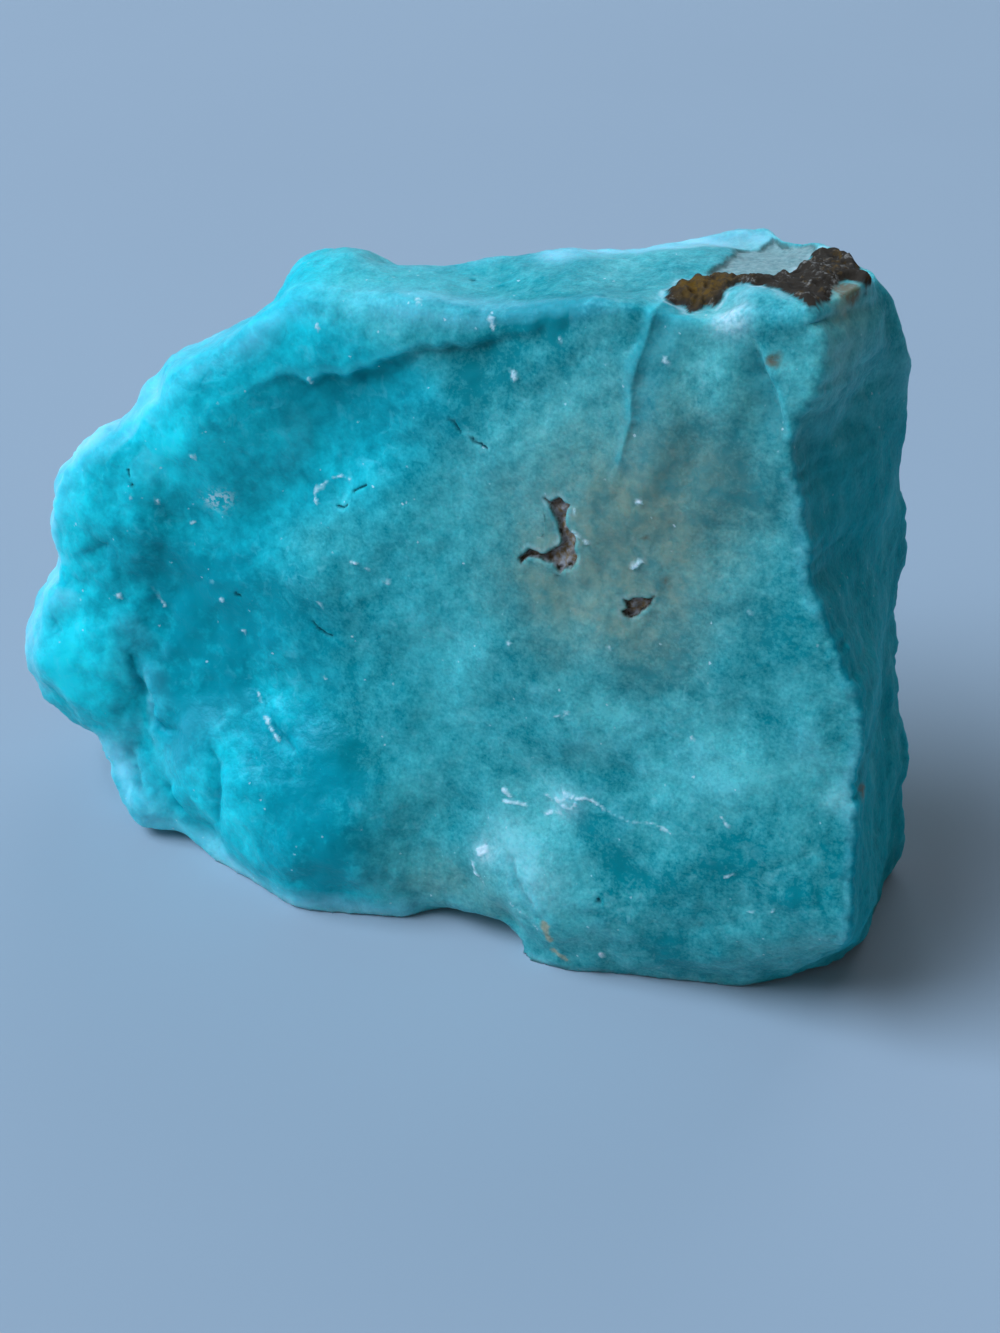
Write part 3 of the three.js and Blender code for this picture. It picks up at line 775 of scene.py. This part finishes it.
def relief(points, marks):
    """How far each point is pushed out along its normal."""
    noisy = partial(fractal, points)
    u, _, t = marks.face.T
    right_face = ramp(u, *RIGHT_FACE_U)
    back_face = ramp(t, *BACK_FACE_T)
    rounded = 1 - ramp(u, *LOBES_U)
    out = noisy("swells") * (1 - 0.4 * rounded) * (1 - 0.6 * right_face)
    out += (GRAIN_HEIGHT + LOBE_GRAIN * rounded) * noisy("grain")

    streaks = points * FRACTURE_GRAIN
    ribs = np.abs(fractal(streaks, "fracture_ribs"))
    out += right_face * (fractal(streaks, "fracture_streaks") + FRACTURE_OUT - ribs)
    out += right_face * FRACTURE_BUMPS * np.abs(noisy("fracture_bumps"))
    creases = np.abs(noisy("back_creases"))
    out += back_face * (noisy("back_bumps") - creases + BACK_OUT)
    creases = np.abs(noisy("lobe_creases"))
    out += CREASES * rounded * (creases ** CREASE_POWER - CREASE_OUT)
    wander = noisy("dome_wander")[:, None]
    out += DOMES * ramp(-u, *DOMES_LEFT_OF) * (DOME_OUT - domes(points + wander, DOME_SPACING))
    out += FOOT_BUMPS * (1 - ramp(points[:, 2], *FOOT_Z)) * noisy("foot_bumps")
    out += blobs(points, SWELLS) - marks.fold

    pit = ramp(-marks.pit, -0.06, 0.16)
    out -= PIT_DEPTH * pit * (PIT_EVEN + noisy("pit_floor"))
    out += PIT_LIP * np.exp(-((marks.pit - 0.2) / 0.15) ** 2)

    rust = ramp(-marks.rust, -0.1, 0.5)
    crumbs = 1 - np.abs(noisy("crumbs"))
    out += rust * (CRUST_HEIGHT + CRUMB_HEIGHT * crumbs)
    out -= GREY_DEPTH * ramp(-marks.grey, -0.1, 0.15) * (1 - rust)

    frost = ramp(-marks.frost, -0.12, 0.08)
    out += frost * (FROST_HEIGHT + noisy("frost_crumbs"))
    out -= CRACK_DEPTH * ramp(-marks.dark, -0.08, 0.08)
    return out


def needs_fine_faces(marks):
    """The points by an edge or a mark, where the even mesh is too coarse."""
    u, w, t = marks.face.T
    surface = t < 1.5
    ledge = (t < FRONT_T) & (np.abs(ledge_below(marks.face)) < 0.8) & (u < LEDGE_TO_U)
    step = surface & (np.abs(past(marks.face, STEP_LINE)) < 0.8) & (w > 35)
    trough = surface & (np.abs(past(marks.face, TROUGH_LINE)) < 0.7) & (w > 40)
    brow = surface & (above_top(marks.face) > -0.8) & (u > 6)
    corner = surface & (right_side(marks.face) > -0.7)
    near_marks = [getattr(marks, name) < reach for name, reach in FINE_NEAR.items()]
    near_marks.append(np.abs(marks.grey) < FINE_NEAR_GREY)
    return ledge | step | trough | brow | corner | np.any(near_marks, 0)


def stone_mesh(node):
    """The stone's fine mesh, with the layers that its material reads."""
    mesh = remeshed(node)
    points = snap_to_field(read_points(mesh), 3)
    edges = read_edges(mesh)
    for _ in range(3):
        points = snap_to_field(relax(points, edges, EVEN_SHARE), 1)
    write_points(mesh, points)
    refine(mesh, needs_fine_faces(Marks(points)), FINE_CUTS)
    points = snap_to_field(relax(read_points(mesh), read_edges(mesh), EVEN_SHARE), 2)

    marks = Marks(points)
    _, slope = field_slope(points)
    normals = slope / np.maximum(np.linalg.norm(slope, axis=1, keepdims=True), 1e-6)
    upward = ramp(points[:, 2], 0, BASE_FADE)
    sideways = 0.5 + 0.5 * upward
    shift = normals * relief(points, marks)[:, None]
    points = points + shift * np.stack([sideways, sideways, upward], 1)
    points[:, 2] = np.maximum(points[:, 2], 0)
    write_points(mesh, points * MM)
    mesh.polygons.foreach_set("use_smooth", np.ones(len(mesh.polygons), bool))
    paint(mesh, points, normals, marks)
    return mesh


def line_layers(face):
    """Painted highlights on the lips of the ledge and step, painted shade below the ledge, beside
    the step and in the trough, and the ledge's edge.
    """
    u, w, t = face.T
    front = t < FRONT_T
    below = ledge_below(face)
    past_step, past_trough = past(face, STEP_LINE), past(face, TROUGH_LINE)
    on_ledge = front * (1 - ramp(u, -6, 3)) * ramp(u, -15, -8)
    in_band = STEP_STRENGTH * (front * ramp(w, 35, 38))
    in_trough = front * ramp(w, 40, 42)

    # painted highlight along the lips of the ledge and the step, then painted shade below and
    # beside them
    ledge_highlight = on_ledge * ramp(below, -0.9, -0.2) * (1 - ramp(below, -0.15, 0.1))
    step_highlight = in_band * ramp(past_step, -0.9, -0.1) * (1 - ramp(past_step, 0, 0.15))
    lip = np.maximum(ledge_highlight, step_highlight)
    ledge_shade = on_ledge * ramp(below, -0.05, 0.3) * (1 - ramp(below, 1, 6))
    step_shade = in_band * ramp(past_step, 0, 0.15) * (1 - ramp(past_step, 0.3, 3.4))
    in_trough = in_trough * ramp(past_trough, -2.2, -0.6) * (1 - ramp(past_trough, -0.3, 0.3))
    shade = np.maximum(ledge_shade, step_shade) + in_trough * (1 - ramp(w, 45, 46.5))
    ledge_edge = front * (u < LEDGE_TO_U)
    return lip, shade, ledge_edge * ramp(below, -0.9, -0.3) * (1 - ramp(below, 0.8, 1.6))


def glow_layers(points, normals, marks):
    """How thin the stone is at each point, and the painted glow of its outer lobes and crest."""
    inset = THIN_LEFT - (THIN_LEFT - THIN_RIGHT) * ramp(points[:, 0], 0, 14)
    thin = 1 + stone_field(points - normals * inset[:, None]) / inset
    outward = ramp(normals @ GLOW_FACING, 0.1, 0.85)
    outer = outward * (1 - ramp(points[:, 0], -24, -10)) * (0.86 + fractal(points, "lobe_glow"))
    streaks = 0.75 + fractal(points * CREST_GRAIN, "crest_streaks")
    return thin, outer, np.exp(-(marks.crest / CREST_WIDTH) ** 2) * streaks


def back_stains(points, face):
    u, w, t = face.T
    spots = [
        strength * np.exp(-((u - across) ** 2 + (w - up) ** 2) / radius ** 2)
        for across, up, radius, strength in BACK_STAINS
    ]
    return (t > BACK_FROM) * sum(spots) * (0.7 + fractal(points, "back_stain"))


def paint(mesh, points, normals, marks):
    """Where the stone is pale, deep, stained or rusty, and where light and shade are painted on it,
    as layers that its material reads.
    """
    u, w, t = marks.face.T
    x, _, z = points.T
    warp = np.stack([fractal(points, f"drift_{axis}") for axis in "xyz"], 1)
    drift = points + DRIFT * warp
    lip, shade, ledge_edge = line_layers(marks.face)
    thin, outer, crest = glow_layers(points, normals, marks)
    brow = ramp(x, 10, 16) * (z > 38) * (t < PIT_T)
    # the broken side at +X, facing away from the light: its own darker tone, and painted shade
    right = ramp(normals[:, 0], 0.45, 0.75) * ramp(x, 14, 18)
    streaks = np.clip(0.93 + fractal(points * RIGHT_GRAIN, "right_streaks"), 0, 1)
    greener = ramp(past(marks.face, GREENER_FROM) + 2.5 * warp[:, 0], -3.5, 3.5)
    layers = {
        # painted highlight along the lips, and painted shade by the ledge, step and trough
        "lip": lip,
        "shade": shade,
        "milk": np.clip(blobs(drift, CLOUDS), -0.6, 1),
        "stain": np.clip(blobs(drift, STAIN) + back_stains(points, marks.face), 0, 1),
        # painted glow where the stone is thin, on its outer lobes and along the crest
        "edge": np.clip(thin, 0, 1) * (1 - 0.7 * brow) * (1 - 0.9 * ledge_edge),
        "outer": np.clip(outer, 0, 1),
        "crest": np.clip(crest, 0, 1),
        "right": right * streaks * (1 - 0.65 * ramp(w, 38, 44)),
        "side": (0.75 + 0.25 * ramp(u, -4, 10)) * greener,
        "gold": blobs(points, [(*GOLDEN, 1.0)]),
        "pale": np.clip(blobs(points, PALE_SPOTS), 0, 1),
        "sandy": blobs(points, [(*spot, 1.0) for spot in SANDY_SPOTS]),
        # painted shade in the folds
        "fold": np.clip(marks.fold / 0.5, 0, 1),
    }
    for name, (start, full) in MARK_LAYERS.items():
        layers[name] = ramp(-marks.named(name), start, full)
    for name, (outside, width) in RIM_LAYERS.items():
        layers[name] = np.exp(-((marks.named(name) - outside) / width) ** 2)
    layers["rust_rim"] *= 1 - ramp(x, 20, 23)
    for name, values in layers.items():
        attribute = mesh.attributes.new(name, "FLOAT", "POINT")
        attribute.data.foreach_set("value", values.astype(np.float32))


# ---- Materials ----
class Shader:
    """Short calls for building a material's nodes."""

    def __init__(self, name):
        self.material = bpy.data.materials.new(name)
        self.material.use_nodes = True
        self.tree = self.material.node_tree
        self.principled = self.tree.nodes["Principled BSDF"]
        self.colour = None

    def put(self, socket, value):
        """Set a socket, or link it."""
        if isinstance(value, bpy.types.NodeSocket):
            self.tree.links.new(value, socket)
        else:
            socket.default_value = value

    def surface(self, name, value):
        self.put(self.principled.inputs[name], value)

    def node(self, kind, sockets, output=0, **settings):
        made = self.tree.nodes.new(kind)
        for name, value in settings.items():
            setattr(made, name, value)
        for key, value in sockets.items():
            self.put(made.inputs[key], value)
        return made.outputs[output]

    def layer(self, name):
        """One of the layers that paint() left on the mesh."""
        return self.node("ShaderNodeAttribute", {}, "Fac", attribute_name=name)

    def math(self, operation, a, b, clamp=False):
        return self.node("ShaderNodeMath", {0: a, 1: b}, operation=operation, use_clamp=clamp)

    def plus(self, a, b, clamp=False):
        return self.math("ADD", a, b, clamp)

    def times(self, a, b, clamp=False):
        return self.math("MULTIPLY", a, b, clamp)

    def most(self, a, b):
        return self.math("MAXIMUM", a, b)

    def noise(self, where, scale, detail, roughness, distortion=0.0):
        values = (where, scale, detail, roughness, distortion)
        names = ("Vector", "Scale", "Detail", "Roughness", "Distortion")
        return self.node("ShaderNodeTexNoise", dict(zip(names, values)), "Fac")

    def span(self, value, low, high, to_low=0.0, to_high=1.0):
        """Map low to high onto another range, with its ends as limits."""
        names = ("Value", "From Min", "From Max", "To Min", "To Max")
        values = (value, low, high, to_low, to_high)
        return self.node("ShaderNodeMapRange", dict(zip(names, values)))

    def spread(self, noise_value, to_low, to_high):
        """Map a noise's usual values onto another range."""
        return self.span(noise_value, 0.3, 0.7, to_low, to_high)

    def lay(self, share, new):
        """Lay a new colour over the colour so far."""
        self.colour = self.mix(share, self.colour, new)

    def cover(self, name, strength, new):
        """Lay a new colour where a layer says so."""
        self.lay(self.times(self.layer(name), strength), new)

    def mix(self, share, a, b):
        made = self.tree.nodes.new("ShaderNodeMix")
        made.data_type = "RGBA"
        for index, value in ((0, share), (6, a), (7, b)):
            self.put(made.inputs[index], value)
        return made.outputs[2]


DEEP_LEFT = (0.0, 0.41, 0.46, 1)
MILKY_LEFT = (0.02, 0.88, 0.90, 1)
WISPS_LEFT = (0.15, 0.84, 0.88, 1)
DEEP_RIGHT = (0.0, 0.30, 0.315, 1)
MILKY_RIGHT = (0.18, 0.70, 0.66, 1)
WISPS_RIGHT = (0.32, 0.76, 0.72, 1)
# the broken side's own darker tone, with painted shade
BROKEN_DEEP_SHADED = (0.0, 0.29, 0.33, 1)
BROKEN_MILKY_SHADED = (0.01, 0.46, 0.50, 1)
# painted glow
EDGE_GLOW = (0.42, 0.90, 0.98, 1)
# painted highlight on the lips
LIP_HIGHLIGHT = (0.10, 0.84, 0.88, 1)
SHADE_DEEP = (0.0, 0.27, 0.31, 1)
# painted shade in the folds
FOLD_SHADE = (0.0, 0.32, 0.40, 1)
STAIN_GREY = (0.42, 0.45, 0.31, 1)
STAIN_DARK = (0.17, 0.32, 0.27, 1)
STAIN_BROWN = (0.22, 0.15, 0.08, 1)
CREAM_LIGHT = (0.62, 0.58, 0.40, 1)
GREY_QUARTZ = (0.40, 0.50, 0.45, 1)
GREY_DARK = (0.22, 0.30, 0.28, 1)
GREY_RIM = (0.10, 0.13, 0.11, 1)
# white of the crust, and of painted glints
FROST_AND_GLINT_WHITE = (0.86, 0.96, 0.93, 1)
PIT_BROWN = (0.28, 0.16, 0.07, 1)
PIT_SAND = (0.40, 0.34, 0.32, 1)
PIT_DARK = (0.02, 0.015, 0.01, 1)
CRACK_DARK = (0.005, 0.08, 0.10, 1)
LIMONITE_DARK = (0.05, 0.028, 0.016, 1)
LIMONITE_GOLD = (0.22, 0.095, 0.006, 1)
# painted glints on the limonite
LIMONITE_GLINTS = (0.34, 0.27, 0.22, 1)

SCATTER_REACH = 1.5
SCATTER_RADIUS = (0.17, 0.86, 1.0)
SPECULAR_LEVEL = 0.25
SPECULAR_TINT = (0.4, 0.9, 1.0, 1)
BUMP_STRENGTH, BUMP_HEIGHT = 0.6, 0.4


class Grains:
    """The noises that the stone's colours, gloss and bump share."""

    def __init__(self, s):
        place = s.node("ShaderNodeTexCoord", {}, "Object")
        per_mm = (1 / MM, 1 / MM, 1 / MM)
        self.mm = s.node("ShaderNodeVectorMath", {0: place, 1: per_mm}, operation="MULTIPLY")
        self.broad = s.noise(self.mm, 0.16, 2.5, 0.5, 0.6)
        self.blotch = s.noise(self.mm, 0.5, 2, 0.5, 0.6)
        self.grain = s.noise(self.mm, 2.6, 2.5, 0.6)
        self.fine = s.noise(self.mm, 4.6, 2, 0.6)
        self.lumps = s.noise(self.mm, 1.3, 3, 0.6, 0.3)
        self.sugar = s.noise(self.mm, 7.0, 2, 0.6)


def bare_stone(s, g):
    """The stone's own colour. It gives how milky it is, and where its greener side is."""
    milk = s.plus(s.times(s.layer("milk"), 0.6), 0.36)
    for noise_value, swing in ((g.broad, 0.2), (g.blotch, 0.16), (g.lumps, 0.2)):
        milk = s.plus(milk, s.spread(noise_value, -swing, swing))
    side = s.layer("side")
    speckled = s.plus(s.span(side, 0, 1, 0.25, 0.55), s.times(s.layer("stain"), 0.2))
    milk = s.plus(milk, s.times(s.spread(g.fine, -0.36, 0.36), speckled), clamp=True)
    deep = s.mix(side, DEEP_LEFT, DEEP_RIGHT)
    milky = s.mix(side, MILKY_LEFT, MILKY_RIGHT)
    s.colour = s.mix(milk, deep, milky)

    wisps = s.span(s.noise(g.mm, 0.9, 4, 0.62, 0.8), 0.54, 0.70)
    wisps = s.times(wisps, s.span(g.broad, 0.45, 0.6))
    s.lay(s.times(wisps, 0.4), s.mix(side, WISPS_LEFT, WISPS_RIGHT))
    return milk, side


def lit_stone(s, g, milk, side):
    """Painted glow on thin edges, outer lobes and the crest, painted highlights on the lips,
    painted shade by the ledge, step and trough and in the folds, and the duller broken side, darker
    in its own tone and by painted shade.
    """
    # painted glow on thin edges, outer lobes and the crest
    edge = s.times(s.span(s.layer("edge"), 0.12, 0.7), s.spread(g.blotch, 0.4, 1.0))
    glow = s.times(edge, s.span(side, 0, 1, 0.8, 0.4))
    glow = s.most(glow, s.times(s.layer("outer"), s.spread(g.blotch, 0.7, 1.0)))
    s.lay(s.most(glow, s.layer("crest")), EDGE_GLOW)
    # painted highlight on the lips
    s.cover("lip", 0.4, LIP_HIGHLIGHT)
    s.cover("pale", s.span(g.grain, 0.35, 0.6, 0.4, 0.8), FROST_AND_GLINT_WHITE)
    s.cover("shade", 0.5, SHADE_DEEP)
    # painted shade in the folds
    s.cover("fold", 0.4, FOLD_SHADE)
    # the broken side: its own darker tone, and painted shade
    s.lay(s.layer("right"), s.mix(milk, BROKEN_DEEP_SHADED, BROKEN_MILKY_SHADED))


def stained(s, g):
    """The grey-green stain, the brown tarnish and the cream crust."""
    stain = s.times(s.layer("stain"), s.span(g.blotch, 0.3, 0.6, 0.65, 1.0))
    stain_colour = s.mix(s.span(g.lumps, 0.34, 0.64, 0.2, 0.85), STAIN_DARK, STAIN_GREY)
    s.lay(s.times(stain, 0.85), stain_colour)
    s.cover("brown", s.span(g.grain, 0.3, 0.5, 0.4, 0.9), STAIN_BROWN)
    s.lay(s.layer("cream"), s.mix(s.span(g.grain, 0.4, 0.6), CREAM_LIGHT, STAIN_GREY))


def specked(s, g):
    """White specks, both white flecks and painted glints, and sandy spots."""
    # white specks: white flecks, and painted glints
    speck = s.node("ShaderNodeTexVoronoi", {"Vector": g.mm, "Scale": 1.3}, "Distance")
    speck = s.plus(speck, s.spread(g.sugar, -0.08, 0.08))
    white = s.times(s.span(speck, 0.13, 0.07), s.span(g.blotch, 0.57, 0.63))
    white = s.times(white, s.span(s.layer("right"), 0, 1, 1.0, 0.2))
    sandy = s.times(s.layer("sandy"), s.span(s.noise(g.mm, 2.8, 3, 0.6), 0.46, 0.56), clamp=True)
    s.lay(s.times(s.most(white, sandy), 0.6), FROST_AND_GLINT_WHITE)
    return sandy


def crusted(s, g):
    """The grey quartz, the frost, the pits and the open cracks."""
    grey = s.layer("grey")
    quartz = s.mix(s.span(g.grain, 0.35, 0.65), GREY_QUARTZ, GREY_DARK)
    s.lay(s.times(grey, 0.9), quartz)
    rim = s.times(s.layer("grey_rim"), s.span(g.blotch, 0.4, 0.55))
    s.lay(s.times(rim, 0.7), GREY_RIM)
    s.cover("rust_rim", s.span(g.blotch, 0.4, 0.6, 0.1, 0.6), FROST_AND_GLINT_WHITE)
    # white crust, partly painted glints
    frost = s.layer("frost")
    s.lay(s.times(frost, s.span(g.sugar, 0.35, 0.6, 0.6, 1.0)), FROST_AND_GLINT_WHITE)
    pit = s.layer("pit")
    s.cover("pit_rim", s.span(g.blotch, 0.4, 0.6, 0.0, 0.2), FROST_AND_GLINT_WHITE)
    s.lay(pit, s.mix(s.span(g.grain, 0.38, 0.62), PIT_BROWN, PIT_SAND))
    s.cover("pit_edge", s.span(g.grain, 0.35, 0.6, 1.0, 0.4), PIT_DARK)
    dark = s.layer("dark")
    s.lay(dark, CRACK_DARK)
    return grey, frost, pit, dark


def rusty(s, g):
    """The seam's dark limonite, its golden part, and pale flecks on it that are painted glints."""
    rust = s.layer("rust")
    golden = s.times(s.layer("gold"), s.span(g.grain, 0.38, 0.6, 0.3, 1.0))
    golden = s.times(golden, s.layer("rust_deep"))
    golden = s.most(golden, s.span(s.noise(g.mm, 1.4, 3, 0.6), 0.56, 0.7, 0, 0.45))
    crust = s.mix(golden, LIMONITE_DARK, LIMONITE_GOLD)
    # pale flecks on the dark crust: painted glints
    glints = s.span(s.noise(g.mm, 2.2, 4, 0.7), 0.53, 0.63)
    glints = s.times(glints, s.span(s.noise(g.mm, 0.7, 2, 0.5), 0.44, 0.58))
    glints = s.times(glints, s.span(s.layer("gold"), 0.1, 0.7, 0.75, 0.1))
    s.lay(rust, s.mix(glints, crust, LIMONITE_GLINTS))
    return rust


def stone_material():
    s = Shader("hemimorphite_stone")
    g = Grains(s)
    lit_stone(s, g, *bare_stone(s, g))
    stained(s, g)
    sandy = specked(s, g)
    grey, frost, pit, dark = crusted(s, g)
    rust = rusty(s, g)
    s.surface("Base Color", s.colour)

    # Light doesn't go far into the crusts, and they aren't glossy
    solid = s.most(s.most(rust, s.most(pit, dark)), s.times(s.most(frost, grey), 0.6))
    solid = s.most(solid, s.most(s.layer("cream"), s.times(sandy, 0.8)))
    s.surface("Subsurface Weight", s.span(solid, 0, 1, 1.0, 0.0))
    s.surface("Subsurface Radius", SCATTER_RADIUS)
    s.surface("Subsurface Scale", SCATTER_REACH * MM)
    s.surface("Specular IOR Level", SPECULAR_LEVEL)
    s.surface("Specular Tint", SPECULAR_TINT)

    duller = s.times(s.most(s.layer("right"), s.layer("shade")), 0.35)
    gloss = s.plus(s.spread(g.grain, 0.30, 0.48), duller)
    s.surface("Roughness", s.most(gloss, s.times(solid, 0.85)))

    height = s.plus(s.times(g.lumps, 0.30), s.times(g.grain, 0.16))
    height = s.plus(height, s.times(g.sugar, 0.08))
    bump = {"Strength": BUMP_STRENGTH, "Distance": BUMP_HEIGHT * MM, "Height": height}
    s.surface("Normal", s.node("ShaderNodeBump", bump, "Normal"))
    return s.material


PAPER_TONES = (0.42, 0.45, 0.49, 1), (0.45, 0.48, 0.52, 1)
PAPER_ROUGHNESS = 0.85


def floor_material():
    s = Shader("paper_floor")
    place = s.node("ShaderNodeTexCoord", {}, "Object")
    s.surface("Base Color", s.mix(s.noise(place, 14, 3, 0.5), *PAPER_TONES))
    s.surface("Roughness", PAPER_ROUGHNESS)
    return s.material


# ---- The scene. Here lengths are in metres, and powers in watts ----
FLOOR_REACH = 12.0
LIGHT_DISTANCE = 3.0
LIGHTS = [  # name, direction from the stone, size, power, colour
    ("window", (-0.54, -0.30, 0.76), 2.0, 117, (0.52, 0.74, 1.0)),
    ("far_window", (-0.1, 0.85, 0.55), 2.4, 23, (0.60, 0.80, 1.0)),
]
ROOM_COLOUR, ROOM_STRENGTH = (0.80, 0.90, 1.0, 1), 0.13


def add_light(name, toward, size, power, colour):
    """A soft square light that shines on the stone from the given direction."""
    data = bpy.data.lights.new(name, "AREA")
    data.size = size
    data.energy = power
    data.color = colour
    light = add_object(name, data)
    direction = Vector(toward).normalized()
    light.location = direction * LIGHT_DISTANCE
    light.rotation_euler = direction.to_track_quat("Z", "Y").to_euler()


def add_floor():
    mesh = bpy.data.meshes.new("floor")
    sides = (-1, -1), (1, -1), (1, 1), (-1, 1)
    corners = [(x * FLOOR_REACH, y * FLOOR_REACH, 0) for x, y in sides]
    mesh.from_pydata(corners, [], [range(4)])
    mesh.materials.append(floor_material())
    floor = add_object("floor", mesh)


def add_stone():
    mesh = stone_mesh(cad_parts["hemimorphite_stone"])
    mesh.name = "hemimorphite"
    mesh.materials.clear()
    mesh.materials.append(stone_material())
    stone = add_object("hemimorphite", mesh)
    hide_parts("hemimorphite_stone")
    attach(stone, "root")


def add_room_light():
    world = bpy.data.worlds.new("studio")
    world.use_nodes = True
    background = world.node_tree.nodes["Background"].inputs
    background["Color"].default_value = ROOM_COLOUR
    background["Strength"].default_value = ROOM_STRENGTH
    bpy.context.scene.world = world


add_camera()
add_floor()
add_stone()
add_room_light()
for light in LIGHTS:
    add_light(*light)
bpy.context.scene.view_settings.view_transform = "Standard"
